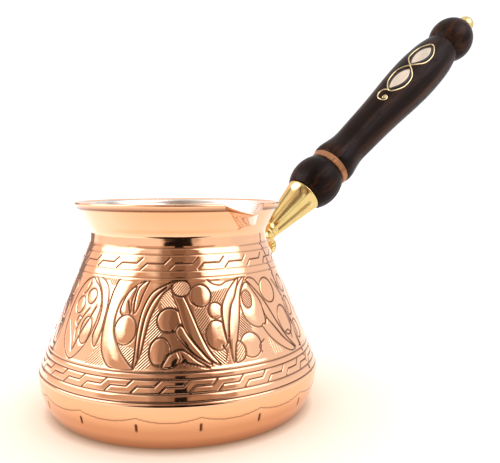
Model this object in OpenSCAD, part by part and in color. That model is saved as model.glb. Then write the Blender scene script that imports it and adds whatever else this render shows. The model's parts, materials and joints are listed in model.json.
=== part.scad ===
// Turkish coffee pot (cezve) of engraved copper with a turned wooden handle.
// Millimetres. +Z is up, the handle points along +X, and the origin is the
// middle of the flat base.

/* [Pot] */
// Radius of the widest ring, the belt
belt_r = 55; // [50:0.5:62]
// Height of the belt above the table
belt_h = 16.8; // [14:0.2:20]
// Radius of the flat base
base_r = 48.5; // [44:0.5:50]
// Radius of the narrowest ring, where the cone meets the neck
neck_r = 34.2; // [32:0.1:36]
// Height of the narrowest ring
neck_h = 67.8; // [64:0.2:69]
// Radius of the rim band
rim_r = 40.5; // [38:0.5:43]
// Height of the pot at its rim
pot_h = 81; // [79:0.5:86]
// Height of the band that is folded round the rim
rim_band = 2.4; // [1.5:0.1:3]
// Thickness of the copper wall
wall = 1.6; // [1.2:0.1:2.2]
// Thickness of the copper base
base_t = 2; // [1.6:0.1:3]
// Thickness of the tin lining
tin_t = 0.25; // [0.2:0.05:0.4]

/* [Spout] */
// Angle of the spout round the pot, measured from the handle
spout_az = -80; // [-100:0.5:-60]
// How far the spout stands out from the rim
spout_out = 3.4; // [2.5:0.1:4.5]
// How far the spout's tip is below the rim
spout_drop = 3.2; // [2:0.1:4]
// Half the spout's width at the rim
spout_half = 6.4; // [5:0.2:8]

/* [Handle] */
// Distance of the ferrule's narrow end from the pot's axis
handle_x = 42.6; // [41:0.2:45]
// Height of the ferrule's narrow end
handle_z = 66.6; // [64:0.2:69]
// Slope of the handle above the level
handle_tilt = 40; // [35:0.5:45]
// Length of the brass ferrule
ferrule_len = 25.2; // [22:0.2:28]
// Radius of the ferrule's narrow end
ferrule_r1 = 3.7; // [3.5:0.1:4.2]
// Radius of the ferrule's wide end
ferrule_r2 = 8.3; // [8:0.1:9]
// Number of flutes round the ferrule
flutes = 10; // [6:1:12]
// Length of the lower bead
bead_len = 17.1; // [16:0.1:20]
// Radius of the lower bead
bead_r = 11.3; // [10:0.1:12]
// Thickness of the light spacer ring
spacer_t = 2.7; // [1.5:0.1:3.5]
// Length of the grip
grip_len = 93.8; // [85:0.2:100]
// Length of the end bead
end_len = 18.4; // [17:0.2:21]
// Radius of the end bead
end_r = 10.9; // [10:0.1:12]
// Clearance between the parts that turn and the parts that stay
turn_gap = 0.15; // [0.1:0.05:0.3]
// Diameter of the rod inside the handle
rod_d = 5; // [4:0.5:6]

/* [Inlay] */
// How far the grip is turned on its rod, away from the inlay being on top
inlay_turn = 34; // [0:1:90]
// Length of each mother-of-pearl leaf
pearl_len = 14.4; // [12:0.2:16]
// Width of each mother-of-pearl leaf
pearl_w = 5.4; // [4:0.2:6]
// Width of the black mastic round each leaf
mastic_w = 0.9; // [0.5:0.1:1.2]
// Width of the brass wire
wire_w = 0.7; // [0.5:0.1:1]
// Length of each loop of the wire
loop_len = 18.4; // [17:0.2:20]
// Width of each loop of the wire
loop_w = 10.2; // [9:0.2:11]

/* [Hidden] */
$fn = 96;

// Colours
copper = "#d98f6a";
tin = "#d9d9d6";
brass = "#cfa94e";
steel = "#9a9c9e";
dark_wood = "#3a2420";
light_wood = "#8a5a3c";
mastic = "#15100e";
pearl = "#d8cdbf";

// Small allowances
eps = 0.01;
seat_gap = 0.03;      // between parts that are fixed together
far = 200;            // longer than the object
over = 1;             // how far a cut runs past a face

// Pot profile: control points of its two curved stretches
bowl_ctrl = [belt_r - 1, 4.5];
neck_ctrl = [neck_r + 1.4, neck_h + 4.9];
curve_steps = 8;
band_step = 0.35;     // how far the rim band stands proud
rim_round = 0.5;

// Spout: a cone that rises from the neck and leans out to the tip
spout_root_r = neck_r + 0.2;
spout_root_h = neck_h + 5.2;
spout_r1 = 1.2;
spout_r1_share = 0.6; // share of an inset that the narrow end takes
spout_r2 = spout_half;
spout_rise = pot_h - spout_root_h;
spout_lean = atan((rim_r + spout_out - spout_half - spout_root_r) / spout_rise);
spout_len = spout_rise / cos(spout_lean);
spout_taper = (spout_r2 - spout_r1) / spout_len;
spout_over = 4;       // the cone runs on this far, to be cut by the slope
spout_seat = 0.3;     // the slope starts this far below the rim
spout_edge_r = rim_r - 1;
spout_fall = atan((spout_drop - spout_seat) / (rim_r + spout_out - spout_edge_r));

// Heights and places along the handle, from the ferrule's narrow end
bead_s = ferrule_len + turn_gap;
spacer_s = bead_s + bead_len;
grip_s = spacer_s + spacer_t;
end_s = grip_s + grip_len;
washer_s = end_s + end_len + turn_gap;
washer_t = 1;
washer_r = 5;
finial_gap = 0.05;
finial_s = washer_s + washer_t + finial_gap;
finial_r = 4.6;
finial_skirt = 3.4;
finial_bore = 5;
rod_start = -5.5;
rod_short = 0.6;      // the rod ends this far below the bottom of its bore
rod_end = finial_s + finial_bore - rod_short;
rod_fit = 0.08;       // radial clearance of the turning parts on the rod
bead_long_r = 13.4;   // long radius of the ellipse that the lower bead follows
end_long_r = 11.9;    // the same for the end bead
bead_steps = 16;

// Bracket
arm_r = 3.6;
arm_back = 10;        // how far the arm runs back, past the pot's wall
collar_r = 4.1;
collar_t = 1.4;
plate_t = 3.2;
plate_mid = 63.2;     // height of the middle of the fan
plate_w = 14.2;       // half width of the fan, to the lobe centres
plate_h = 5.2;        // depth of the fan, to the lobe centres
lobe_r = 1.5;
lobes = 17;
fan_step = 7.5;
wall_slope = atan((belt_r - neck_r) / (neck_h - belt_h));

// Rivets: angle round the pot and height
rivet_spots = [[-16, 61.8], [16, 61.8]];
rivet_shank = 1.5;
rivet_head = 2.3;
rivet_dome = 1.1;
rivet_ball = 1.35;    // radius of the dome, in head radii
rivet_reach = 10;     // half length of the holes
rivet_inner = -wall - tin_t - seat_gap - rivet_dome;
rivet_outer = plate_t + seat_gap;

// Nut inside the ferrule
nut_s = 17;
nut_t = 3.6;
nut_af = 8;

// Ferrule: its flutes, and the hollow for the nut and the lower bead's spigot
flute_r = 4.6;
flute_cut = 0.5;
flute_from = 1.6;     // the flutes start this far along
flute_part = 0.9;     // part of the length that the flutes run
flute_rise = 1.2;     // degrees by which they run out towards the wide end
flute_turn = 19;      // degrees by which they are turned from the top
nut_room_r = 5.1;
socket_r = 6.9;
socket_deep = 3;
spigot_r = 6.6;
spigot_h = 2;

// Light ring, narrow and wide radius
spacer_r1 = 8.6;
spacer_r2 = 9.3;

// Grip profile: distance along the grip and radius, joined by a smooth curve
grip_knots = [[0, 9.9], [3.6, 10.1], [12.5, 8.6], [22, 8.75], [39, 9.5],
              [59, 10.95], [71, 11.3], [84, 10.6], [grip_len, 8.8]];
grip_knot_steps = 5;

// Inlay
inlay_depth = 1.3;
wire_depth = 0.8;
cross_s = 110.2;      // where the two loops of wire meet
upper_mid = cross_s + loop_len / 2;
lower_mid = cross_s - loop_len / 2;
pearl_tilt = 6;
pearl_aside = 0.3;    // how far the leaves lie off the inlay's middle line
pearl_back = 0.6;     // how far they lie towards the pot from the loop's middle
mastic_tip = 1.2;     // how much longer than the leaf the mastic is, in widths
tip_share = 2.6;      // a leaf loses this much length for each step inwards
inlay_reach = 16;     // longer than the grip's radius
leaf_facets = 180;
scroll_big = 3.3;
scroll_small = 1.95;
scroll_mid = [-0.4, lower_mid - loop_len / 2 - 3.4];
curl_mid = [0.6, scroll_mid[1] - 1.35];
scroll_room = 10;     // longer than the scroll is wide
scroll_trim = 0.3;    // the large arc stops this far short of the loop
eye_r = 1;
eye_hole = 0.42;

// ---- Curves ----

function bezier2(a, b, c, t) = (1 - t) * (1 - t) * a + 2 * t * (1 - t) * b + t * t * c;
function bezier_points(a, b, c, n) = [for (i = [0 : n]) bezier2(a, b, c, i / n)];

// Point of a Catmull-Rom curve through the knots, in stretch i at t
function knot(k, i) = k[max(0, min(len(k) - 1, i))];
function spline_at(k, i, t) =
    let (a = knot(k, i - 1), b = knot(k, i), c = knot(k, i + 1), d = knot(k, i + 2))
    0.5 * (2 * b + (c - a) * t + (2 * a - 5 * b + 4 * c - d) * t * t
           + (3 * b - a - 3 * c + d) * t * t * t);
function spline_points(k, n) = [
    for (i = [0 : len(k) - 2]) for (j = [0 : n - 1]) spline_at(k, i, j / n),
    k[len(k) - 1]
];

// ---- Pot ----

// Outline of the pot's side from base to rim, moved inwards by inset
function side_points(inset, floor_h) = let (shift = [-inset, 0]) concat(
    bezier_points([base_r, floor_h] + shift, bowl_ctrl + [-inset, floor_h],
                  [belt_r, belt_h] + shift, curve_steps),
    bezier_points([neck_r, neck_h] + shift, neck_ctrl + shift,
                  [rim_r - band_step, pot_h - rim_band] + shift, curve_steps)
);

// Solid of revolution under the side outline
module side_solid(inset, floor_h, top_h) {
    side = side_points(inset, floor_h);
    last = side[len(side) - 1];
    rotate_extrude()
        polygon(concat([[0, floor_h]], side, [[last[0], top_h], [0, top_h]]));
}

module rim_band_ring() {
    low = pot_h - rim_band;
    inner = rim_r - 2 * wall;
    rotate_extrude()
        polygon([[inner, low - rim_round], [rim_r - band_step, low - rim_round],
                 [rim_r, low], [rim_r, pot_h - rim_round],
                 [rim_r - rim_round, pot_h], [inner, pot_h]]);
}

// Cone that the spout is pressed over, smaller by inset. It leans outwards, so
// it comes out of the neck in a rounded V.
module spout_cone(inset) {
    rotate([0, 0, spout_az])
        translate([spout_root_r, 0, spout_root_h])
            rotate([0, spout_lean, 0])
                cylinder(r1 = spout_r1 - inset * spout_r1_share,
                         r2 = spout_r2 + spout_over * spout_taper - inset,
                         h = spout_len + spout_over);
}

// Everything above the slope from the rim to the spout's tip, lowered by drop
module above_spout(drop = 0) {
    rotate([0, 0, spout_az])
        translate([0, 0, pot_h - spout_seat - drop]) {
            translate([0, -far / 2, 0])
                cube([far, far, far]);
            translate([spout_edge_r, -far / 2, 0])
                rotate([0, spout_fall, 0])
                    cube([far, far, far]);
        }
}

// The spout's own solid, smaller by inset and cut off lower by drop
module spout_solid(inset, drop = 0) {
    difference() {
        spout_cone(inset);
        above_spout(drop);
    }
}

module rivet_frame(spot) {
    along = belt_r - (spot[1] - belt_h) * tan(wall_slope);
    rotate([0, 0, spot[0]])
        translate([along, 0, spot[1]])
            rotate([0, 90 - wall_slope, 0])
                children();
}

module rivet_holes() {
    for (spot = rivet_spots)
        rivet_frame(spot)
            translate([0, 0, -rivet_reach])
                cylinder(r = rivet_shank + seat_gap, h = 2 * rivet_reach);
}

module pot_shell() {
    color(copper)
        difference() {
            union() {
                side_solid(0, 0, pot_h - over);
                rim_band_ring();
                spout_solid(0);
            }
            side_solid(wall, base_t, pot_h + over);
            spout_cone(wall);
            rivet_holes();
        }
}

module tin_lining() {
    color(tin)
        difference() {
            union() {
                side_solid(wall + eps, base_t + eps, pot_h - rim_round);
                spout_solid(wall + eps, rim_round);
            }
            side_solid(wall + tin_t, base_t + tin_t, pot_h + over);
            spout_cone(wall + tin_t);
            rivet_holes();
        }
}

// ---- Bracket ----

// Places things along the handle: local +Z runs up the handle, -X is its top
module on_handle(s = 0) {
    translate([handle_x, 0, handle_z])
        rotate([0, 90 - handle_tilt, 0])
            translate([0, 0, s])
                children();
}

// Fan-shaped plate with a lobed edge, seen from the handle's side
module fan_outline() {
    translate([0, plate_mid]) {
        for (a = [180 : 180 / (lobes - 1) : 360])
            translate([plate_w * cos(a), plate_h * sin(a)])
                circle(r = lobe_r);
        polygon([for (a = [180 : fan_step : 360]) [plate_w * cos(a), plate_h * sin(a)]]);
        translate([-plate_w, -eps])
            square([2 * plate_w, lobe_r]);
    }
}

// The pot's cone, grown outwards by gap
module cone_wall(gap) {
    grow = gap / cos(wall_slope);
    translate([0, 0, belt_h])
        cylinder(r1 = belt_r + grow, r2 = neck_r + grow, h = neck_h - belt_h);
}

module handle_bracket() {
    color(brass)
        difference() {
            union() {
                intersection() {
                    cone_wall(plate_t);
                    rotate([90, 0, 90])
                        linear_extrude(far / 2)
                            fan_outline();
                }
                on_handle(-arm_back)
                    cylinder(r = arm_r, h = arm_back);
                on_handle(-collar_t)
                    cylinder(r = collar_r, h = collar_t);
            }
            cone_wall(seat_gap);
            on_handle(rod_start)
                cylinder(d = rod_d + 2 * seat_gap, h = far);
            rivet_holes();
        }
}

module bracket_rivets() {
    color(brass)
        for (spot = rivet_spots)
            rivet_frame(spot) {
                translate([0, 0, rivet_inner])
                    cylinder(r = rivet_shank, h = rivet_outer - rivet_inner + rivet_dome / 2);
                translate([0, 0, rivet_outer])
                    intersection() {
                        cylinder(r = rivet_head, h = rivet_dome);
                        translate([0, 0, rivet_dome - rivet_head * rivet_ball])
                            sphere(r = rivet_head * rivet_ball);
                    }
                translate([0, 0, rivet_inner])
                    cylinder(r = rivet_head, h = rivet_dome);
            }
}

// ---- Handle: the parts that stay with the pot ----

module handle_rod() {
    color(steel)
        on_handle(rod_start + eps)
            cylinder(d = rod_d, h = rod_end - rod_start - eps);
}

module hexagon_prism(across, h) {
    cylinder(d = across / cos(30), h = h, $fn = 6);
}

module ferrule_nut() {
    color(steel)
        on_handle(nut_s)
            difference() {
                hexagon_prism(nut_af, nut_t);
                translate([0, 0, -over])
                    cylinder(d = rod_d + 2 * seat_gap, h = nut_t + 2 * over);
            }
}

module ferrule() {
    slant = atan((ferrule_r2 - ferrule_r1) / ferrule_len);
    color(brass)
        on_handle(seat_gap)
            difference() {
                cylinder(r1 = ferrule_r1, r2 = ferrule_r2, h = ferrule_len - seat_gap);
                for (i = [0 : flutes - 1])
                    rotate([0, 0, 180 + flute_turn + i * 360 / flutes])
                        translate([ferrule_r1 + flute_r - flute_cut, 0, flute_from])
                            rotate([0, slant - flute_rise, 0])
                                cylinder(r = flute_r, h = ferrule_len * flute_part);
                translate([0, 0, -over])
                    cylinder(d = rod_d + 2 * seat_gap, h = far);
                translate([0, 0, nut_s - seat_gap])
                    cylinder(r = nut_room_r, h = far);
                translate([0, 0, ferrule_len - socket_deep])
                    cylinder(r = socket_r, h = far);
            }
}

// ---- Handle: the parts that turn ----

// Bead whose side is part of an ellipse
module bead(radius, length, long_r) {
    half = length / 2;
    pts = [for (i = [0 : bead_steps])
        let (z = -half + i * length / bead_steps)
        [radius * sqrt(1 - pow(z / long_r, 2)), z + half]];
    difference() {
        rotate_extrude()
            polygon(concat([[0, 0]], pts, [[0, length]]));
        translate([0, 0, -over])
            cylinder(d = rod_d + 2 * rod_fit, h = length + 2 * over);
    }
}

module lower_bead() {
    color(dark_wood)
        union() {
            on_handle(bead_s)
                bead(bead_r, bead_len, bead_long_r);
            on_handle(bead_s - spigot_h)
                difference() {
                    cylinder(r = spigot_r, h = spigot_h + over);
                    translate([0, 0, -over])
                        cylinder(d = rod_d + 2 * rod_fit, h = spigot_h + 3 * over);
                }
        }
}

module spacer_ring() {
    color(light_wood)
        on_handle(spacer_s)
            difference() {
                cylinder(r1 = spacer_r1, r2 = spacer_r2, h = spacer_t);
                translate([0, 0, -over])
                    cylinder(d = rod_d + 2 * rod_fit, h = spacer_t + 2 * over);
            }
}

// Solid of the grip's outline, moved inwards by inset
module grip_solid(inset) {
    pts = spline_points(grip_knots, grip_knot_steps);
    rotate_extrude()
        polygon(concat([[0, 0]], [for (p = pts) [p[1] - inset, p[0]]], [[0, grip_len]]));
}

// Carries an outline of the grip's surface, x across and y along the handle
module inlay_prism() {
    on_handle()
        rotate([0, 0, 180 + inlay_turn])
            rotate([90, 0, 90])
                linear_extrude(inlay_reach)
                    children();
}

// Layer of the grip under its surface, from inset a down to inset b
module grip_layer(a, b) {
    on_handle(grip_s)
        difference() {
            grip_solid(a);
            grip_solid(b);
        }
}

// Leaf with two pointed ends: where two circles cross
module leaf(length, width) {
    half = length / 2;
    r = (half * half + width * width / 4) / width;
    intersection() {
        translate([r - width / 2, 0])
            circle(r = r, $fn = leaf_facets);
        translate([width / 2 - r, 0])
            circle(r = r, $fn = leaf_facets);
    }
}

module pearl_outline(mid) {
    translate([pearl_aside, mid - pearl_back])
        rotate([0, 0, -pearl_tilt])
            leaf(pearl_len, pearl_w);
}

// Outer and inner edge of one loop of wire
module loop_edge(mid, inset) {
    translate([0, mid])
        leaf(loop_len - inset * tip_share, loop_w - 2 * inset);
}

// The bed of mastic stops at the inside of the wire
module mastic_outline(mid) {
    intersection() {
        translate([pearl_aside, mid - pearl_back])
            rotate([0, 0, -pearl_tilt])
                leaf(pearl_len + mastic_w * mastic_tip, pearl_w + 2 * mastic_w);
        loop_edge(mid, wire_w + seat_gap);
    }
}

module loop_outline(mid) {
    difference() {
        loop_edge(mid, 0);
        loop_edge(mid, wire_w);
    }
}

module scroll_outline() {
    // Large arc on the near side, small curl on the far side
    intersection() {
        translate(scroll_mid)
            difference() {
                circle(r = scroll_big + wire_w / 2);
                circle(r = scroll_big - wire_w / 2);
            }
        translate(scroll_mid - [scroll_room, scroll_room])
            square([scroll_room, scroll_room + scroll_big - scroll_trim]);
    }
    intersection() {
        translate(curl_mid)
            difference() {
                circle(r = scroll_small + wire_w / 2);
                circle(r = scroll_small - wire_w / 2);
            }
        translate([scroll_mid[0] - eps, curl_mid[1] - scroll_room])
            square([scroll_room, 2 * scroll_room]);
    }
}

module eye_outline() {
    translate(curl_mid)
        difference() {
            circle(r = eye_r);
            circle(r = eye_hole);
        }
}

module grip() {
    color(dark_wood)
        difference() {
            on_handle(grip_s)
                difference() {
                    grip_solid(0);
                    translate([0, 0, -over])
                        cylinder(d = rod_d + 2 * rod_fit, h = grip_len + 2 * over);
                }
            intersection() {
                grip_layer(-over, inlay_depth);
                inlay_prism() {
                    mastic_outline(upper_mid);
                    mastic_outline(lower_mid);
                }
            }
            intersection() {
                grip_layer(-over, wire_depth);
                inlay_prism() {
                    loop_outline(upper_mid);
                    loop_outline(lower_mid);
                    scroll_outline();
                    eye_outline();
                }
            }
        }
}

module mastic(mid) {
    color(mastic)
        intersection() {
            grip_layer(0, inlay_depth);
            inlay_prism()
                difference() {
                    mastic_outline(mid);
                    pearl_outline(mid);
                }
        }
}

module pearl_leaf(mid) {
    color(pearl)
        intersection() {
            grip_layer(0, inlay_depth);
            inlay_prism()
                pearl_outline(mid);
        }
}

module wire(depth) {
    color(brass)
        intersection() {
            grip_layer(0, depth);
            inlay_prism()
                children();
        }
}

module mastic_upper() {
    mastic(upper_mid);
}

module mastic_lower() {
    mastic(lower_mid);
}

module pearl_upper() {
    pearl_leaf(upper_mid);
}

module pearl_lower() {
    pearl_leaf(lower_mid);
}

module loop_wire_upper() {
    wire(wire_depth)
        loop_outline(upper_mid);
}

module loop_wire_lower() {
    wire(wire_depth)
        loop_outline(lower_mid);
}

module scroll_wire() {
    wire(wire_depth)
        scroll_outline();
}

module scroll_eye() {
    wire(wire_depth)
        eye_outline();
}

module end_bead() {
    color(dark_wood)
        on_handle(end_s)
            bead(end_r, end_len, end_long_r);
}

// ---- Finial: washer and cap nut on the end of the rod ----

module finial_washer() {
    color(brass)
        on_handle(washer_s)
            difference() {
                cylinder(r = washer_r, h = washer_t);
                translate([0, 0, -over])
                    cylinder(d = rod_d + 2 * rod_fit, h = washer_t + 2 * over);
            }
}

module finial_nut() {
    color(brass)
        on_handle(finial_s)
            difference() {
                union() {
                    cylinder(r = finial_r, h = finial_skirt);
                    translate([0, 0, finial_skirt])
                        intersection() {
                            sphere(r = finial_r);
                            cylinder(r = finial_r + over, h = finial_r + over);
                        }
                }
                translate([0, 0, -over])
                    cylinder(d = rod_d + 2 * rod_fit, h = finial_bore + over);
            }
}

pot_shell();
tin_lining();
handle_bracket();
bracket_rivets();
handle_rod();
ferrule_nut();
ferrule();
lower_bead();
spacer_ring();
grip();
end_bead();
mastic_upper();
mastic_lower();
pearl_upper();
pearl_lower();
loop_wire_upper();
loop_wire_lower();
scroll_wire();
scroll_eye();
finial_washer();
finial_nut();
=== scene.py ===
"""Looks of an engraved copper Turkish coffee pot (cezve), built round its CAD frame."""

import json
import math

import bpy
import numpy as np
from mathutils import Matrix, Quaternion, Vector


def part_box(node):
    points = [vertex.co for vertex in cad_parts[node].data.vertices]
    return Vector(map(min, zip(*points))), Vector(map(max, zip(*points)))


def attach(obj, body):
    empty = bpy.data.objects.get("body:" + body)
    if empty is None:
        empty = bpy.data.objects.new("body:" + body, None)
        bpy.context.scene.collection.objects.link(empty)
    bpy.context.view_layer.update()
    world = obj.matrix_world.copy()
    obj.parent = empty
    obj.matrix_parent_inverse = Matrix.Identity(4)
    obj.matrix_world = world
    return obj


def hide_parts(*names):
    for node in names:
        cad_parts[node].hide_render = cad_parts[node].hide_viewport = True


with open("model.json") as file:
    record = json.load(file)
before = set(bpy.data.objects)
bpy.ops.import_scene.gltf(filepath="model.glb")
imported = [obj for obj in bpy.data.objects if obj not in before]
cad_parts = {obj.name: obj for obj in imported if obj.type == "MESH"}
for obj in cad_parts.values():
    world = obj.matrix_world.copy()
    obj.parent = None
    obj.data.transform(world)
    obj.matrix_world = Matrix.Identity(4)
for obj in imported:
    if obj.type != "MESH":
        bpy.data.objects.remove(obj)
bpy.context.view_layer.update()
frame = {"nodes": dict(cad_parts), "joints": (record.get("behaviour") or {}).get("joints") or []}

MM = 0.001

# ---- Sizes in millimetres; angles in degrees round the pot, from the handle ----

SHELL_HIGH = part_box("pot_shell")[1]
BELT_R = SHELL_HIGH.y / MM
POT_H = SHELL_HIGH.z / MM
BELT_H = 16.8
BASE_R = 48.5
NECK_R = 34.2
NECK_H = 67.8
RIM_R = 40.5
RIM_BAND = 2.4
BAND_STEP = 0.35
RIM_ROUND = 0.5
RIM_LEAN = 0.8
WALL = 1.6
BASE_T = 2.0
TIN_T = 0.25
TIN_GAP = 0.02
BOWL_CTRL = (BELT_R - 1, 4.5)
NECK_CTRL = (NECK_R + 1.4, NECK_H + 4.9)
FOOT_ROUND = 0.7
BELT_ROUND = 0.8
CREASE_ROUND = 1.1
CREASE_START = 66.2
CREASE_TOP = 70.1
CREASE_R = 34.5
BASE_HOLLOW_R = 43.0
BASE_HOLLOW = 0.35

SPOUT_AZ = -80.0
SPOUT_HALF = 13.7
SPOUT_FOOT_HALF = 7.0
SPOUT_FOOT_TURN = 7.0
FOLD_AT = 0.06
FOLD_SHARE = 0.035
SPOUT_FOOT_SLANT = 0.13
SPOUT_OUT = 3.4
SPOUT_DROP = 3.2
SPOUT_FOOT = 72.6
SPOUT_FOOT_RISE = 0.6

COLUMNS = 1280
ROW_STEP = 0.28
CONE_SLOPE = (BELT_R - NECK_R) / (NECK_H - BELT_H)
CONE_STRETCH = math.hypot(1, CONE_SLOPE)

# Engraving
LINE_HALF = 0.46
LINE_DEEP = 0.17
BAND_HALF = 0.42
BAND_DEEP = 0.17
STEP_HALF = 0.36
STEP_DEEP = 0.2
FIELD_DEEP = 0.12
PILLOW_DEEP = 0.15
PILLOW_WIDE = 1.9
FIELD_LOW = 27.3
FIELD_HIGH = 55.2
UPPER_LINES = (65.6, 63.4, 58.2, 55.9)
LOWER_LINES = (26.6, 24.6, 20.4, 17.9)
UPPER_STEPS = {"height": 60.6, "count": 24, "phase": -165.6}
HATCH_R = 46.0
HATCH_PITCH = 1.0
# Below this height (mm) the copper is darkened into painted shade, fading out over the next 5 mm.
BOWL_SHADE_TOP = 8.0
LOWER_STEPS = {"height": 22.6, "count": 35, "phase": -153.4}
STEP_RISE = 2.0
STEP_LEAN = 2.0
STEP_GAP = 1.8
SCALLOPS = 16
SCALLOP_PHASE = -153.5
SCALLOP_TOP = 12.8
SCALLOP_SAG = 1.6
TICK_TOP = 10.2
TICK_LOW = 8.1

# Handle, measured along its axis from the ferrule's narrow end
SWIVEL = next(j for j in frame["joints"] if j["name"] == "handle_swivel")
HANDLE_AT = np.array(SWIVEL["pos_m"], float) / MM
HANDLE_AXIS = np.array(SWIVEL["axis"], float)
HANDLE_TILT = math.degrees(math.asin(HANDLE_AXIS[2]))
FERRULE_LEN = 25.2
FERRULE_R1 = 3.7
FERRULE_R2 = 8.3
FLUTES = 10
FLUTE_RIDGE = 217.0
FLUTE_DEEP = 1.1
BEAD_S = 25.35
BEAD_LEN = 17.1
BEAD_R = 11.3
BEAD_LONG_R = 13.4
SPACER_S = 42.45
SPACER_T = 2.7
GRIP_S = 45.15
GRIP_LEN = 93.8
END_S = 138.95
END_LEN = 18.4
END_R = 10.9
END_LONG_R = 11.9
FINIAL_S = 158.55
FINIAL_R = 4.6
FINIAL_TOP = 8.0
BORE_R = 2.58
HANDLE_COLUMNS = 192
GRIP_KNOTS = [(0, 9.9), (3.6, 10.1), (12.5, 8.6), (22, 8.75), (39, 9.5),
              (59, 10.95), (71, 11.3), (84, 10.6), (93.8, 8.8)]
INLAY_AZ = 214.0
CROSS_S = 110.2
LOOP_LEN = 18.6
LOOP_HALF = 4.9
WIRE_R = 0.36
PEARL_LEN = 14.6
PEARL_HALF = 2.7
MASTIC_EXTRA = 0.95
PEARL_TILT = 6.0
PEARL_BACK = 0.6


# ---- Curves ----

def bezier(a, b, c, count):
    """Points of a quadratic curve, ends included."""
    t = np.linspace(0, 1, count)[:, None]
    a, b, c = (np.array(p, float) for p in (a, b, c))
    return (1 - t) ** 2 * a + 2 * t * (1 - t) * b + t * t * c


def spline(knots, steps, closed=False):
    """Points of a Catmull-Rom curve through the knots."""
    k = np.array(knots, float)
    if closed:
        k = np.vstack([k[-1], k, k[0], k[1]])
    else:
        k = np.vstack([2 * k[0] - k[1], k, 2 * k[-1] - k[-2]])
    t = (np.arange(steps) / steps)[:, None]
    parts = []
    for a, b, c, d in zip(k, k[1:], k[2:], k[3:]):
        parts.append(0.5 * (2 * b + (c - a) * t + (2 * a - 5 * b + 4 * c - d) * t ** 2
                            + (3 * b - a - 3 * c + d) * t ** 3))
    if not closed:
        parts.append(k[-2][None])
    return np.vstack(parts)


def evenly(points, step):
    """The same line with points about step apart."""
    points = np.array(points, float)
    run = np.concatenate([[0], np.cumsum(np.linalg.norm(np.diff(points, axis=0), axis=1))])
    at = np.linspace(0, run[-1], max(2, int(round(run[-1] / step)) + 1))
    return np.column_stack([np.interp(at, run, points[:, i]) for i in range(points.shape[1])])


def rounded(points, radii, steps=5):
    """A line through points whose inner corners are rounded by radii (0 keeps a corner)."""
    points = [np.array(p, float) for p in points]
    made = [points[0]]
    for before, corner, after, radius in zip(points, points[1:], points[2:], radii):
        if radius <= 0:
            made.append(corner)
            continue
        to_before = (before - corner) / np.linalg.norm(before - corner)
        to_after = (after - corner) / np.linalg.norm(after - corner)
        made.extend(bezier(corner + to_before * radius, corner, corner + to_after * radius, steps))
    made.append(points[-1])
    return np.array(made)


def smooth(x):
    """Rises smoothly from 0 at 0 to 1 at 1."""
    x = np.clip(x, 0, 1)
    return x * x * (3 - 2 * x)


def turn(angle):
    """An angle in degrees brought between -180 and 180."""
    return (np.asarray(angle) + 180) % 360 - 180


# ---- Meshes ----

def make_piece(name, points, quads, tris=None):
    """A smooth-shaded mesh object from points in millimetres."""
    mesh = bpy.data.meshes.new(name)
    mesh.vertices.add(len(points))
    mesh.vertices.foreach_set("co", (np.asarray(points) * MM).astype(np.float32).ravel())
    quads = np.asarray(quads, np.int32).reshape(-1, 4)
    tris = np.zeros((0, 3), np.int32) if tris is None else np.asarray(tris, np.int32)
    corners = np.concatenate([quads.ravel(), tris.ravel()])
    starts = np.concatenate([np.arange(len(quads)) * 4, len(quads) * 4 + np.arange(len(tris)) * 3])
    mesh.loops.add(len(corners))
    mesh.loops.foreach_set("vertex_index", corners)
    mesh.polygons.add(len(starts))
    mesh.polygons.foreach_set("loop_start", starts.astype(np.int32))
    mesh.update(calc_edges=True)
    mesh.validate()
    mesh.shade_smooth()
    piece = bpy.data.objects.new(name, mesh)
    bpy.context.scene.collection.objects.link(piece)
    return piece


def grid_quads(rows, columns, close_rows=False):
    """Faces of a grid whose columns run round; close_rows joins its last row to its first."""
    i = np.arange(rows if close_rows else rows - 1)[:, None]
    j = np.arange(columns)[None, :]
    j_next = (j + 1) % columns
    i_next = (i + 1) % rows
    return np.stack([i * columns + j, i * columns + j_next,
                     i_next * columns + j_next, i_next * columns + j], -1).reshape(-1, 4)


def pole_tris(ring, pole, columns, flip):
    """Triangles from the ring that starts at index ring to the pole."""
    j = np.arange(columns)
    a, b = ring + j, ring + (j + 1) % columns
    if flip:
        a, b = b, a
    return np.stack([a, b, np.full(columns, pole)], -1)


def finish_piece(piece, body, slot, material, *nodes):
    """Puts a piece on its body, in place of its CAD nodes, with its material."""
    piece.data.materials.append(material)
    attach(piece, body)
    if nodes:
        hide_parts(*nodes)
    return piece


# ---- Pot: outline and spout ----

def cone_radius(z):
    return BELT_R - (z - BELT_H) * CONE_SLOPE


def side_line(inset, floor, top, fine):
    """Outline of the pot's side from its foot to the rim band, moved in by inset."""
    shift = np.array([-inset, 0])
    bowl = bezier(np.array([BASE_R, floor]) + shift, np.array([BOWL_CTRL[0], BOWL_CTRL[1] + floor]) + shift,
                  np.array([BELT_R, BELT_H]) + shift, 60)
    neck = bezier(np.array([NECK_R, NECK_H]) + shift, np.array(NECK_CTRL) + shift,
                  np.array([RIM_R - RIM_LEAN - BAND_STEP, top]) + shift, 60)
    return bowl, neck


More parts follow.
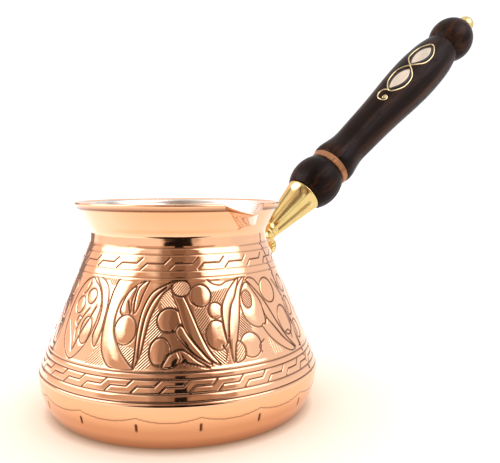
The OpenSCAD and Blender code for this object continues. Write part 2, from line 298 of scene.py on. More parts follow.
def outer_line():
    """Outline of the copper from the middle of the base up to the rim's top."""
    bowl, neck = side_line(0, 0, POT_H - RIM_BAND, True)
    belt = np.array([BELT_R, BELT_H])
    low = POT_H - RIM_BAND
    along = np.array([NECK_R - BELT_R, NECK_H - BELT_H])
    along /= np.linalg.norm(along)
    base = rounded([(3, BASE_HOLLOW), (BASE_HOLLOW_R, BASE_HOLLOW), (BASE_HOLLOW_R + 1, 0),
                    (BASE_R, 0), bowl[8]], [0.4, 0.4, FOOT_ROUND])
    cut = int(np.argmax(bowl[:, 1] > BELT_H - BELT_ROUND))
    belt_turn = bezier(bowl[cut], belt, belt + along * BELT_ROUND, 7)
    start = np.array([cone_radius(CREASE_START), CREASE_START])
    top = np.array([CREASE_R, CREASE_TOP])
    after = int(np.argmax(neck[:, 1] > CREASE_TOP + CREASE_ROUND + 0.6))
    crease_turn = rounded([start, top, neck[after]], [CREASE_ROUND], 13)
    band = rounded([neck[-1], (RIM_R - RIM_LEAN, low + 0.05), (RIM_R, POT_H - RIM_ROUND),
                    (RIM_R - RIM_ROUND, POT_H), (RIM_R - BAND_STEP - WALL, POT_H)], [0.1, 0.45, 0.35])
    parts = [evenly(base[:-1], 3.0), evenly(bowl[9:cut], ROW_STEP * 1.3), belt_turn,
             evenly([belt_turn[-1], start], ROW_STEP)[1:-1], evenly(crease_turn[:-1], ROW_STEP),
             evenly(neck[after:], ROW_STEP), band[1:-1]]
    return np.vstack(parts)


def inner_line(inset, top):
    """Outline of the inside from its top edge down to the floor, moved in by inset."""
    bowl, neck = side_line(inset, BASE_T + inset - WALL, POT_H - RIM_BAND, False)
    floor = BASE_T + inset - WALL
    corner = np.array([BASE_R - inset, floor])
    straight = np.array([neck[-1][0], top])
    up = np.vstack([rounded([(3, floor), corner, bowl[14]], [2.5], 8)[:-1], bowl[14:], neck, straight])
    return evenly(up[::-1], 1.2)


def spout_share(z, az):
    """How far the lip is pressed out at each height and angle, 0 to 1, and its foot line."""
    up = np.clip((z - SPOUT_FOOT) / (POT_H - SPOUT_FOOT), 0, 1)
    half = SPOUT_FOOT_HALF + (SPOUT_HALF - SPOUT_FOOT_HALF) * up
    off = turn(az - SPOUT_AZ)[None, :] - SPOUT_FOOT_TURN * (1 - up)
    beak = np.clip(1 - (np.abs(off) / half) ** 1.5, 0, 1)
    beak = np.where(z > POT_H - RIM_BAND, beak * (1 - 0.35 * np.exp(-beak / 0.12)), beak ** 1.2)
    foot = SPOUT_FOOT + SPOUT_FOOT_SLANT * np.clip(off, -SPOUT_HALF, SPOUT_HALF)
    return up, beak, smooth((z - foot) / SPOUT_FOOT_RISE)


def press_spout(points, az):
    """Moves rings of (radius, height) out and down where the pouring lip is pressed."""
    r, z = points[:, 0][:, None], points[:, 1][:, None]
    up, beak, risen = spout_share(z, az)
    out = SPOUT_OUT * (1.1 - 0.1 * up) * risen
    return r + out * beak, z - SPOUT_DROP * smooth((up - 0.4) / 0.6) * beak


def pot_points(r, z, az):
    angle = np.radians(az)[None, :]
    return np.stack([r * np.cos(angle), r * np.sin(angle), z + 0 * angle], -1)


# ---- Pot: engraving ----
# Outlines are (degrees from the motif's middle, height). Later ones lie over earlier ones.

def oval(u, z, half_u, half_z):
    t = np.radians(np.arange(0, 360, 30))
    return [(u + half_u * math.cos(a), z + half_z * math.sin(a)) for a in t]


MANDORLA = {
    "ground": [
        (1, [(11.9, 35), (13.4, 31.5), (16, 27.5), (7, 27.5), (9.5, 31)]),
        (1, [(20.5, 35.6), (24, 34.2), (28.5, 33.4), (28.5, 30), (26.5, 29.2), (23, 32)]),
        (-1, [(9, 54.5), (12.5, 53), (16.5, 55.6), (11, 56)]),
    ],
    "solids": [
        [(-1, 55.4), (5, 54.6), (9.4, 52), (11.4, 47.5), (11.6, 42), (11.2, 37),
         (9.6, 33), (7.2, 36), (8.4, 41.5), (8, 46), (5, 51)],
        [(25.8, 44.6), (25.6, 49), (27, 53), (32, 55.4), (29.5, 51), (27.5, 46)],
        [(19, 45), (20, 48.5), (22.3, 51.5), (25.6, 53), (24.2, 48.5), (24.3, 44.6), (21.5, 43.6)],
        oval(23, 39.3, 5.2, 4.7),
        [(17, 55.6), (13.6, 52.5), (12.4, 48.5), (12, 43), (12.2, 37), (13.6, 32.5), (16.5, 29),
         (20, 27.4), (28.7, 27.4), (26.8, 29.1), (22.8, 32.3), (19.6, 35.9), (17.8, 38.9),
         (17.3, 43), (18.3, 47.3), (20.8, 50.3), (24.8, 53.4), (30.7, 55.6)],
        [(-4, 54.8), (-1, 53.6), (3, 51.9), (5.9, 49.1), (7.4, 45.9), (7.2, 41), (5.5, 36), (2, 31),
         (-3, 27.8), (-8.5, 30), (-13.5, 35.5), (-15.2, 42), (-13.8, 48.5), (-9.5, 53)],
        oval(-0.5, 48.6, 3.4, 2.5),
        oval(-7.5, 45.2, 3.2, 2.9),
        oval(1.8, 37.6, 3.4, 4.4),
    ],
    "hatched": [],
    "strokes": [
        [(22.4, 48.4), (23.3, 46.2), (24.2, 44.4)],
        [(4.8, 45.5), (2.5, 41.5), (-0.5, 37), (-3, 31)],
        [(-12, 39.5), (-9, 37), (-5.5, 33.5), (-3.5, 30.5)],
        [(0.5, 44.6), (-2.5, 41.5), (-4.5, 37.5), (-3.5, 34)],
        [(-4.5, 52.8), (-5.5, 50.5), (-8, 48.8)],
        [(-3, 41.2), (-5.5, 41.6), (-6.5, 39.6), (-5, 38.6)],
    ],
}

ARCH = {
    "ground": [
        (1, [(-13, 35.5), (-11.5, 42), (-9, 46.5), (-7.5, 45), (-6, 38.5), (-8, 37)]),
        (1, [(-15.5, 28), (-13.6, 33), (-12, 35), (-9.5, 34), (-9.5, 30), (-11, 28)]),
        (1, [(8, 46.8), (14, 46.6), (14.6, 43), (13, 39.5), (10, 39)]),
        (-1, [(14.5, 34.4), (18.5, 34.4), (20.6, 31), (19, 28.4), (15.5, 29)]),
        (1, [(15.5, 51), (20, 51.4), (25.5, 52), (22, 47), (17.5, 47)]),
        (-1, [(-6.8, 49.8), (-3.5, 52.5), (-0.5, 50), (0.4, 46), (-4, 45.8), (-6.6, 46.8)]),
    ],
    "solids": [
        oval(11, 50.1, 5.2, 3.6),
        oval(17.5, 45.1, 3.6, 2.6),
        oval(17, 37.3, 5, 4.7),
        oval(-2.9, 42.6, 5.4, 3.9),
        oval(-6.3, 33, 4.3, 4.4),
        [(1.4, 41), (-0.4, 38.7), (2.6, 35.1), (6.1, 32.3), (10, 30), (13.5, 28.6), (12.5, 30.4),
         (9, 33.5), (6, 36.5), (3.2, 40)],
        [(-5.3, 28), (-4, 30.6), (-2.4, 32.3), (1.6, 33.5), (4.6, 32.5), (8, 30.2), (12.5, 27.7),
         (6.1, 28.9), (1.6, 29.5), (-1, 28.2)],
        [(1.5, 55), (-2.9, 54.5), (-8.3, 52.8), (-11.8, 50.9), (-14.3, 47.6), (-15.8, 43.7),
         (-16.5, 38), (-16.4, 32.3), (-16.4, 27.5), (-13.8, 32.3), (-12.8, 37.3), (-11.3, 43),
         (-8.8, 47.3), (-6.3, 50.7), (-2.5, 53)],
        [(-2.4, 53.6), (1.6, 51.9), (4.6, 48.4), (7.6, 43), (10.5, 37.3), (13.5, 32.3), (17, 28.3),
         (13.2, 29.6), (10, 32.5), (6.6, 35.9), (3.6, 39.4), (1.6, 43.7), (0.4, 46.8), (-1.8, 50.5)],
    ],
    "hatched": [
        (1, oval(2.3, 52.6, 4.3, 2.6)),
    ],
    "strokes": [
        [(-14.9, 31), (-14.7, 37), (-13.7, 43), (-11.6, 47.4), (-8.6, 50.6), (-4.5, 53)],
        [(14.4, 55.5), (17.9, 53.7), (21.9, 53.1), (25.4, 54.1), (30, 54.5), (35.8, 55.4)],
        [(18.8, 34), (20.2, 31.8), (19.4, 29.4)],
        [(0.5, 33), (1.5, 31), (1, 29.8)],
    ],
}

SPRAY = {
    "ground": [
        (-1, [(-18.4, 36.6), (-15.5, 42.5), (-13.6, 43.2), (-11, 38.4), (-13, 36), (-16.5, 35.2)]),
        (1, [(-3.5, 34), (0, 31.5), (4, 29), (-2, 28.5)]),
        (-1, [(-0.5, 43), (1, 39.5), (0, 37.5), (-2.5, 38)]),
    ],
    "solids": [
        oval(24, 50, 3.8, 3.2),
        oval(22.3, 41.8, 3.7, 3.5),
        oval(22.6, 33.2, 3.4, 3.4),
        oval(12.6, 38, 5, 5.2),
        oval(6.1, 49.4, 5.6, 4.3),
        oval(-13.2, 33, 5.1, 4),
        [(-14.2, 47), (-14, 43.5), (-13.2, 41.4), (-10.2, 39), (-6.3, 38), (-2.3, 39.1), (-1.5, 43),
         (-1.8, 46), (-4.5, 50.5), (-7.5, 53.2), (-10.5, 52), (-12.8, 49.5)],
        [(-4.6, 38.2), (-2, 38.8), (-0.6, 40.4), (2.7, 37), (6.6, 32.8), (13, 28), (10, 27.5),
         (4.7, 29.6), (-1.3, 33.7)],
        [(-7.2, 53.6), (-2.3, 49.6), (1.7, 45.1), (5.7, 38.2), (9.6, 32.4), (14.2, 28),
         (8, 31.8), (2.7, 37.3), (-0.8, 41), (-1.8, 45.9), (-4.5, 50)],
        [(-23.8, 34.5), (-24.8, 40), (-24.3, 45.9), (-21.6, 49.3), (-18.2, 52), (-12.5, 55),
         (-14.2, 51.9), (-16.7, 48.7), (-19.6, 45.9), (-21.6, 41.6), (-22.6, 38)],
        [(-22.3, 28.3), (-23.1, 34.1), (-22.6, 38), (-21.6, 41.6), (-19.6, 45.9), (-16.7, 48.7),
         (-14.2, 51.9), (-11, 54.2), (-7.6, 55.4), (-12.2, 50.9), (-14.7, 45.9), (-16.7, 40.9),
         (-18.7, 36.6)],
    ],
    "hatched": [
        (-1, oval(-9.8, 47.6, 2.8, 2.9)),
        (1, [(-19.8, 34.6), (-17.4, 33.8), (-16.5, 31.8), (-17.4, 29.4), (-20, 28.4), (-21.6, 29)]),
    ],
    "strokes": [
        [(-8.2, 53.8), (-5.5, 54.6), (-2, 53.8), (0.4, 51.6)],
        [(9.5, 33.8), (12.5, 34.4), (14.5, 33), (13.8, 31.4)],
        [(13.5, 52.5), (17, 48.5), (19, 45.5)],
        [(-6, 33.8), (-9, 32.2), (-8.6, 30)],
    ],
}

MOTIFS = [(MANDORLA, -162), (ARCH, -117), (SPRAY, -72), (MANDORLA, -27),
          (ARCH, 18), (SPRAY, 63), (ARCH, 108), (SPRAY, 153)]


def cone_metric(az, z, middle):
    """Angles and heights on the cone as flat millimetres, so that distances are true."""
    return np.radians(turn(az - middle)) * cone_radius(z), z * CONE_STRETCH


def distance_to(x, y, line, closed):
    """Distance from the points to a line, and which points it encloses."""
    ends = np.vstack([line[1:], line[:1]]) if closed else line[1:]
    starts = line if closed else line[:-1]
    best = np.full(x.shape, np.inf)
    inside = np.zeros(x.shape, bool)
    for (ax, ay), (bx, by) in zip(starts, ends):
        dx, dy = bx - ax, by - ay
        t = np.clip(((x - ax) * dx + (y - ay) * dy) / (dx * dx + dy * dy + 1e-12), 0, 1)
        best = np.minimum(best, (x - ax - t * dx) ** 2 + (y - ay - t * dy) ** 2)
        if closed and dy:
            inside ^= ((ay > y) != (by > y)) & (x < ax + (y - ay) * dx / dy)
    return np.sqrt(best), inside


def draw_shape(fields, az, z, middle, kind, outline, slant):
    """Draws one shape of a motif into the distance, solid and hatch fields."""
    near, solid, hatch = fields
    closed = kind != "strokes"
    line = spline(outline, 5, closed)
    rows = np.flatnonzero((z > line[:, 1].min() - 2) & (z < line[:, 1].max() + 2))
    off = turn(az - middle)
    cols = np.flatnonzero((off > line[:, 0].min() - 3) & (off < line[:, 0].max() + 3))
    x, y = cone_metric(az[cols][None, :], z[rows][:, None], middle)
    flat = np.column_stack([np.radians(line[:, 0]) * cone_radius(line[:, 1]),
                            line[:, 1] * CONE_STRETCH])
    away, inside = distance_to(x, y + 0 * x, flat, closed)
    at = np.ix_(rows, cols)
    if closed:
        hatch[at] = np.where(inside, slant, hatch[at])
    if kind == "ground":
        return
    if closed:
        near[at] = np.where(inside, away, near[at])
        solid[at] = np.where(inside, slant == 0, solid[at])
    near[at] = np.minimum(near[at], away)


def draw_motifs(az, z):
    """Distance to the nearest cut line, the parts that stand up, and the hatched parts."""
    fields = (np.full((len(z), len(az)), 9.0), np.zeros((len(z), len(az)), bool),
              np.zeros((len(z), len(az))))
    for motif, middle in MOTIFS:
        for slant, outline in motif["ground"]:
            draw_shape(fields, az, z, middle, "ground", outline, slant)
        for outline in motif["solids"]:
            draw_shape(fields, az, z, middle, "solids", outline, 0)
        for slant, outline in motif["hatched"]:
            draw_shape(fields, az, z, middle, "hatched", outline, slant)
        for outline in motif["strokes"]:
            draw_shape(fields, az, z, middle, "strokes", outline, 0)
    return fields


def groove(away, half, deep):
    """Depth of a rounded cut whose edge is half away from its middle."""
    return deep * np.clip(1 - (away / half) ** 2, 0, 1) ** 1.5


def stepped_line(az, z, height, count, phase):
    """Distance to a line round the cone that is broken by pairs of slanting strokes."""
    pitch = 360 / count
    off = (az - phase + pitch / 2) % pitch - pitch / 2
    radius = cone_radius(z)[:, None]
    x = np.radians(off)[None, :] * radius
    y = (z[:, None] - height) * CONE_STRETCH
    half_pitch = math.radians(pitch / 2) * cone_radius(height)
    first = -STEP_GAP / 2 - STEP_LEAN / 2
    second = STEP_GAP / 2 + STEP_LEAN / 2
    best = np.full((len(z), len(az)), 9.0)
    for line in ([(-half_pitch - 1, 0), (first, 0), (first + STEP_LEAN, STEP_RISE)],
                 [(second - STEP_LEAN, -STEP_RISE), (second, 0), (half_pitch + 1, 0)]):
        best = np.minimum(best, distance_to(x, y + 0 * x, np.array(line, float), False)[0])
    return best


def engrave_cone(az, z):
    """Cut depth, dark patina in the cuts and hatching over the cone's grid."""
    near, solid, hatch = draw_motifs(az, z)
    tall = z[:, None] + 0 * near
    field = smooth((tall - FIELD_LOW) / 0.6) * smooth((FIELD_HIGH - tall) / 0.6)
    cut = groove(near, LINE_HALF, LINE_DEEP) * (field > 0)
    ground = field * ~solid
    hatch = hatch * field * smooth((near - 0.2) / 0.3)
    rest = ground * smooth(near / 0.6) * FIELD_DEEP
    rest += field * solid * PILLOW_DEEP * np.exp(-near / PILLOW_WIDE)
    lines = np.zeros(near.shape)
    for height in UPPER_LINES:
        lines = np.maximum(lines, groove(np.abs(tall - height) * CONE_STRETCH, BAND_HALF * 0.8, BAND_DEEP * 0.5))
    for height in LOWER_LINES:
        lines = np.maximum(lines, groove(np.abs(tall - height) * CONE_STRETCH, BAND_HALF, BAND_DEEP))
    for steps in (UPPER_STEPS, LOWER_STEPS):
        away = stepped_line(az, z, **steps)
        lines = np.maximum(lines, groove(away, STEP_HALF, STEP_DEEP))
    cut = np.maximum(cut, lines)
    return cut + rest, np.clip(1.25 * cut / LINE_DEEP, 0, 1), hatch


def engrave_bowl(az, z):
    """Cut depth of the scallops and ticks on the bowl."""
    pitch = 360 / SCALLOPS
    off = (az - SCALLOP_PHASE + pitch / 2) % pitch - pitch / 2
    share = np.abs(off) / (pitch / 2)
    hang = SCALLOP_TOP - SCALLOP_SAG * (1 - (1 - share) ** 2)
    away = np.abs(z[:, None] - hang[None, :])
    line = groove(away, 0.32, 0.16)
    side = np.radians(off)[None, :] * (BELT_R - 1.5)
    past = np.maximum(np.maximum(z[:, None] - TICK_TOP, TICK_LOW - z[:, None]), 0)
    tick = groove(np.hypot(side, past), 0.6, 0.34)
    cut = np.maximum(line, tick)
    return cut, np.clip(cut / 0.2, 0, 1), 0 * cut


def hand_waves(az, z):
    """Slight unevenness left by hand work, in millimetres."""
    a = np.radians(az)[None, :]
    h = z[:, None]
    return 0.017 * (np.sin(5 * a + 0.31 * h) + np.sin(9 * a - 0.23 * h + 1.3)
                    + 0.6 * np.sin(17 * a + 0.53 * h + 0.7) + 0.5 * np.sin(23 * a - 0.71 * h))


def build_pot():
    """The copper body: outside with its engraving, rim and inside, as one closed mesh."""
    az = -180 + 360 * np.arange(COLUMNS) / COLUMNS
    outer = outer_line()
    inner = inner_line(WALL, POT_H - RIM_ROUND)
    line = np.vstack([outer, inner])
    rows = len(line)
    cut = np.zeros((rows, COLUMNS))
    patina_and_shade = np.zeros((rows, COLUMNS))
    hatch = np.zeros((rows, COLUMNS))
    index = np.arange(len(outer))
    z = outer[:, 1]
    top_half = index > np.argmax(outer[:, 0])
    cone = np.flatnonzero(top_half & (z > BELT_H + 0.3) & (z < CREASE_START - 0.1))
    bowl = np.flatnonzero(~top_half & (z > TICK_LOW - 1.5) & (z < SCALLOP_TOP + 1))
    neck = np.flatnonzero(top_half & (z >= CREASE_START - 0.1) & (z < POT_H - RIM_BAND - 0.5))
    for part, engrave in ((cone, engrave_cone), (bowl, engrave_bowl)):
        cut[part], patina_and_shade[part], hatch[part] = engrave(az, z[part])
    worn = np.concatenate([cone, neck])
    waves = hand_waves(az, z[worn])
    fade = smooth((z[worn] - BELT_H - 1) / 3) * smooth((POT_H - RIM_BAND - 1 - z[worn]) / 3)
    cut[worn] += (waves + 0.04) * fade[:, None]

    # Normals of the outline, to push the cuts straight in
    step = np.gradient(line, axis=0)
    normal = np.column_stack([step[:, 1], -step[:, 0]])
    normal /= np.linalg.norm(normal, axis=1)[:, None]
    r, height = press_spout(line, az)
    r = r - cut * normal[:, 0][:, None]
    height = height - cut * normal[:, 1][:, None]
    # Painted shade: a dark line along the lower edge of the rim band.
    under_band = np.abs(line[:, 1] - (POT_H - RIM_BAND)) < 0.25
    patina_and_shade[:len(outer)][under_band[:len(outer)]] = 0.8
    points = pot_points(r, height, az).reshape(-1, 3)
    poles = np.array([[0, 0, line[0, 1]], [0, 0, line[-1, 1]]])
    quads = grid_quads(rows, COLUMNS)
    tris = np.vstack([pole_tris(0, rows * COLUMNS, COLUMNS, True),
                      pole_tris((rows - 1) * COLUMNS, rows * COLUMNS + 1, COLUMNS, False)])
    piece = make_piece("pot_body", np.vstack([points, poles]), quads, tris)
    tall = line[:, 1][:, None]
    beak, risen = spout_share(tall, az)[1:]
    # Painted reflection: the copper's colour is made paler over the pressed spout, less so in the rim band.
    pale = smooth(beak / 0.15) * risen * np.where(tall > POT_H - RIM_BAND, 0.3, 1)
    outside = np.arange(rows)[:, None] < len(outer)
    # Painted shade: dark lines along the spout's foot and along its fold in the rim band.
    foot_shade = 4 * risen * (1 - risen) * (beak > 0.1)
    fold_shade = np.exp(-((beak - FOLD_AT) / FOLD_SHARE) ** 2) * (tall > POT_H - RIM_BAND)
    patina_and_shade = np.maximum(patina_and_shade, 0.85 * np.maximum(foot_shade, fold_shade) * outside)
    for name, values in (("patina_and_shade", patina_and_shade), ("hatch", hatch), ("pale", pale)):
        layer = piece.data.attributes.new(name, "FLOAT", "POINT")
        layer.data.foreach_set("value", np.append(values.ravel(), [0, 0]).astype(np.float32))
    return finish_piece(piece, "pot", "copper", copper_material(), "pot_shell")


def build_tin():
    """The tin lining: a thin closed skin just inside the copper."""
    columns = COLUMNS // 4
    az = -180 + 360 * np.arange(columns) / columns
    back = inner_line(WALL + TIN_GAP, POT_H - RIM_ROUND - 0.05)[::-1]
    front = inner_line(WALL + TIN_T, POT_H - RIM_ROUND - 0.05)
    line = np.vstack([back, front])
    r, z = press_spout(line, az)
    points = pot_points(r, z, az).reshape(-1, 3)
    rows = len(line)
    poles = np.array([[0, 0, line[0, 1]], [0, 0, line[-1, 1]]])
    tris = np.vstack([pole_tris(0, rows * columns, columns, True),
                      pole_tris((rows - 1) * columns, rows * columns + 1, columns, False)])
    piece = make_piece("tin_inside", np.vstack([points, poles]), grid_quads(rows, columns), tris)
    return finish_piece(piece, "pot", "tin", tin_material(), "tin_lining")


# ---- Handle ----

def on_handle(local):
    """Points given as (x, y, along the handle) in the row frame; -x is the handle's top."""
    side = np.array([HANDLE_AXIS[2], 0, -HANDLE_AXIS[0]])
    frame_axes = np.array([side, [0, 1, 0], HANDLE_AXIS])
    return HANDLE_AT + np.asarray(local) @ frame_axes


def turned(name, line, columns=HANDLE_COLUMNS, radius_at=None):
    """A closed outline of (along, radius) spun round the handle's axis."""
    line = np.array(line, float)
    angle = np.radians(360 * np.arange(columns) / columns)[None, :]
    s, r = line[:, 0][:, None], line[:, 1][:, None]
    if radius_at is not None:
        r = radius_at(s, r, np.degrees(angle))
    points = np.stack([r * np.cos(angle), r * np.sin(angle), s + 0 * angle], -1).reshape(-1, 3)
    quads = grid_quads(len(line), columns, close_rows=True)[:, ::-1]
    return make_piece(name, on_handle(points), quads)


def bead_line(start, length, radius, long_r):
    """Outline of a bead with softened ends and a bore."""
    half = length / 2
    z = half * np.sin(np.radians(np.linspace(-86, 86, 48)))
    side = np.column_stack([start + half + z, radius * np.sqrt(1 - (z / long_r) ** 2)])
    low, high = side[0], side[-1]
    lip = 0.25
    return np.vstack([[(start, BORE_R), (start, low[1] - lip)], side,
                      [(start + length, high[1] - lip), (start + length, BORE_R)]])


def build_beads():
    lower = turned("bead_lower", bead_line(BEAD_S, BEAD_LEN, BEAD_R, BEAD_LONG_R))
    finish_piece(lower, "wooden_handle", "dark_wood", wood_material("bead_wood_lower", DARK_WOOD, 3), "lower_bead")
    end = turned("bead_end", bead_line(END_S, END_LEN, END_R, END_LONG_R))
    finish_piece(end, "wooden_handle", "dark_wood", wood_material("bead_wood_end", DARK_WOOD, 11), "end_bead")


def build_spacer():
    line = rounded([(SPACER_S, BORE_R), (SPACER_S, 9.15), (SPACER_S + 0.5, 9.4),
                    (SPACER_S + 1.3, 9.35), (SPACER_S + SPACER_T, 9.8),
                    (SPACER_S + SPACER_T, BORE_R)], [0.2, 0.3, 0.5, 0.25])
    piece = turned("ring_light", evenly(line, 0.35))
    finish_piece(piece, "wooden_handle", "light_wood", wood_material("ring_wood", LIGHT_WOOD, 5), "spacer_ring")


def grip_side():
    return spline(GRIP_KNOTS, 12)


def grip_radius(s):
    """Radius of the grip at a place along the handle."""
    side = grip_side()
    return np.interp(np.asarray(s) - GRIP_S, side[:, 0], side[:, 1])


def build_grip():
    side = grip_side()
    lip = 0.45
    keep = side[(side[:, 0] > lip) & (side[:, 0] < GRIP_LEN - lip)]
    low = rounded([(0, BORE_R), (0, side[0, 1]), keep[0]], [lip])
    high = rounded([keep[-1], (GRIP_LEN, side[-1, 1]), (GRIP_LEN, BORE_R)], [lip])
    line = evenly(np.vstack([low, keep, high]), 0.6) + np.array([GRIP_S, 0])
    piece = turned("grip_turned", line)
    finish_piece(piece, "wooden_handle", "dark_wood", wood_material("grip_wood", DARK_WOOD, 0), "grip")


def build_ferrule():
    """Brass cone with concave flutes between sharp ridges, and a round lip at both ends."""
    rise = (FERRULE_R2 - FERRULE_R1) / FERRULE_LEN

    def radius_at(s, r, angle):
        share = ((angle - FLUTE_RIDGE) % (360 / FLUTES)) / (360 / FLUTES)
        hollow = 1 - (2 * share - 1) ** 2
        run = smooth((s - 1.2) / 2.0) * (1 - smooth((s - 20.5) / 4.2))
        outside = r > FERRULE_R1 - 0.6
        return r - outside * FLUTE_DEEP * hollow * run * (0.6 + 0.4 * s / FERRULE_LEN)

    end = FERRULE_LEN
    line = rounded([(0.03, BORE_R), (0.03, FERRULE_R1 + 0.15), (1.1, FERRULE_R1 + 0.25),
                    (1.5, FERRULE_R1 + 1.5 * rise), (end - 0.9, FERRULE_R2 - 0.9 * rise),
                    (end, FERRULE_R2 - 0.05), (end, 6.9), (end - 3, 6.9), (end - 3, BORE_R)],
                   [0.25, 0.3, 0.3, 0.4, 0.35, 0, 0])
    piece = turned("ferrule_fluted", evenly(line, 0.3), 256, radius_at)
    finish_piece(piece, "pot", "brass", brass_material("ferrule_brass", True), "ferrule")


def build_finial():
    """Cap nut: a skirt, a narrow neck and a small dome."""
    s = FINIAL_S
    dome_r = 4.3
    t = np.radians(np.linspace(-30, 88, 24))
    middle = s + FINIAL_TOP - dome_r
    dome = np.column_stack([middle + dome_r * np.sin(t), dome_r * np.cos(t)])
    skirt = rounded([(s, BORE_R), (s, FINIAL_R - 0.1), (s + 0.5, FINIAL_R), (s + 1.1, FINIAL_R),
                     (s + 1.6, 3.5), dome[0]], [0.2, 0.3, 0.3, 0.25])
    inside = [(s + 5.0, 0.02), (s + 5.0, BORE_R)]
    piece = turned("finial_cap", np.vstack([skirt[:-1], dome, [(dome[-1, 0] + 0.005, 0.02)], inside]), 96)
    finish_piece(piece, "finial", "brass", brass_material("finial_brass", False), "finial_nut")


# ---- Inlay: pearl leaves, mastic and wire, lying on the curve of the grip ----

def on_grip(across, s, lift):
    """Points on the grip: across in mm round it from the inlay's middle line."""
    r0 = grip_radius(s)
    angle = np.radians(INLAY_AZ) + across / r0
    r = r0 + lift
    return on_handle(np.stack([r * np.cos(angle), r * np.sin(angle), s], -1))


def leaf_piece(name, middle, length, half, low, high, crown):
    """A pointed leaf with an upper and a lower skin, following the grip's curve."""
    t = np.linspace(-1, 1, 41)[:, None]
    v = np.linspace(-1, 1, 17)[None, :]
    wide = half * (1 - t ** 2) ** 0.85 * (1 + 0.12 * t)
    along = t * length / 2 + 0 * v
    across = wide * v
    tilt = math.radians(PEARL_TILT)
    x = 0.3 + across * math.cos(tilt) + along * math.sin(tilt)
    s = middle + along * math.cos(tilt) - across * math.sin(tilt)
    edge = (1 - v ** 2) * (1 - t ** 2)
    top = on_grip(x, s, high + crown * edge ** 0.5)
    bottom = on_grip(x, s, low + 0 * x)
    rows, cols = x.shape
    ring = np.concatenate([top[:, :], bottom[:, ::-1]], 1)
    quads = grid_quads(rows, 2 * cols)
    return make_piece(name, ring.reshape(-1, 3), quads[:, ::-1])


def tube(name, across, s, lift, radius):
    """Middle line of a wire that follows the grip, with its directions out from the grip and sideways."""
    path = on_grip(across, s, lift + 0 * s)
    ahead = np.gradient(path, axis=0)
    ahead /= np.linalg.norm(ahead, axis=1)[:, None]
    out = on_grip(across, s, lift + 1 + 0 * s) - path
    out -= (out * ahead).sum(1)[:, None] * ahead
    out /= np.linalg.norm(out, axis=1)[:, None]
    side = np.cross(ahead, out)
    return path, out, side


def wire_piece(name, knots, closed, radius=WIRE_R, lift=-0.08, steps=14):
    line = spline(knots, steps, closed)
    if closed:
        line = np.vstack([line, line[:1]])
    path, out, side = tube(name, line[:, 0], line[:, 1], lift, radius)
    if closed:
        path, out, side = path[:-1], out[:-1], side[:-1]
    turns = np.radians(np.arange(0, 360, 30))[None, :, None]
    size = np.full(len(path), radius)
    if not closed:
        size[0] = size[-1] = radius * 0.5
    ring = path[:, None] + size[:, None, None] * (np.cos(turns) * side[:, None] + np.sin(turns) * out[:, None])
    rows, cols = ring.shape[:2]
    quads = grid_quads(rows, cols, close_rows=closed)
    points = ring.reshape(-1, 3)
    tris = None
    if not closed:
        points = np.vstack([points, path[0], path[-1]])
        tris = np.vstack([pole_tris(0, rows * cols, cols, True),
                          pole_tris((rows - 1) * cols, rows * cols + 1, cols, False)])
    return make_piece(name, points, quads, tris)


def loop_knots(up):
    """Wire loop from the crossing to its far end; up is 1 for the upper one, -1 for the lower."""
    shape = [(0.15, 0.3), (2.2, 2.2), (4.3, 5.2), (LOOP_HALF, 9.0), (4.2, 13.2), (1.9, 17.2), (0, LOOP_LEN)]
    right = [(x, CROSS_S + up * s) for x, s in shape]
    left = [(-x, CROSS_S + up * s) for x, s in reversed(shape[:-1])]
    lean = 0.04 * up
    return [(x - 0.3 + lean * (s - CROSS_S), s) for x, s in right + left]


def build_inlay():
    pearl = pearl_material()
    black = mastic_material()
    gold = brass_material("inlay_wire", False, pale=True)
    for part, up in (("upper", 1), ("lower", -1)):
        middle = CROSS_S + up * LOOP_LEN / 2
        bed = leaf_piece("mastic_bed_" + part, middle - PEARL_BACK, PEARL_LEN + 2.2, PEARL_HALF + MASTIC_EXTRA, -0.5, 0.02, 0.0)
        finish_piece(bed, "wooden_handle", "mastic", black, "mastic_" + part)
        leaf = leaf_piece("pearl_leaf_" + part, middle - PEARL_BACK, PEARL_LEN, PEARL_HALF, -0.3, 0.05, 0.12)
        finish_piece(leaf, "wooden_handle", "pearl", pearl, "pearl_" + part)
        loop = wire_piece("wire_loop_" + part, loop_knots(up), True)
        finish_piece(loop, "wooden_handle", "brass_wire", gold, "loop_wire_" + part)
    end = CROSS_S - LOOP_LEN
    tail = [(-0.6, end + 0.1), (-2.4, end - 0.7), (-3.3, end - 2.4), (-3.1, end - 4.4), (-1.6, end - 6.3),
            (0.6, end - 6.6), (2.0, end - 5.2), (1.5, end - 3.6), (0.2, end - 3.5)]
    scroll = wire_piece("wire_scroll", tail, False)
    finish_piece(scroll, "wooden_handle", "brass_wire", gold, "scroll_wire")
    eye = wire_piece("wire_eye", [(0.5 + 0.62 * math.cos(a), end - 4.7 + 0.62 * math.sin(a))
                                  for a in np.radians(np.arange(0, 360, 60))], True, 0.3)
    finish_piece(eye, "wooden_handle", "brass_wire", gold, "scroll_eye")


# ---- Bracket ----

FAN_MIDDLE = 63.2
FAN_WIDE = 14.2
FAN_DEEP = 5.2
FAN_TOP = 1.0
LOBES = 17
LOBE_R = 1.5
PLATE_T = 3.2
PLATE_GAP = 0.04
RIVET_SPOTS = [(-16, 61.8), (16, 61.8)]
RIVET_SEAT = 2.7


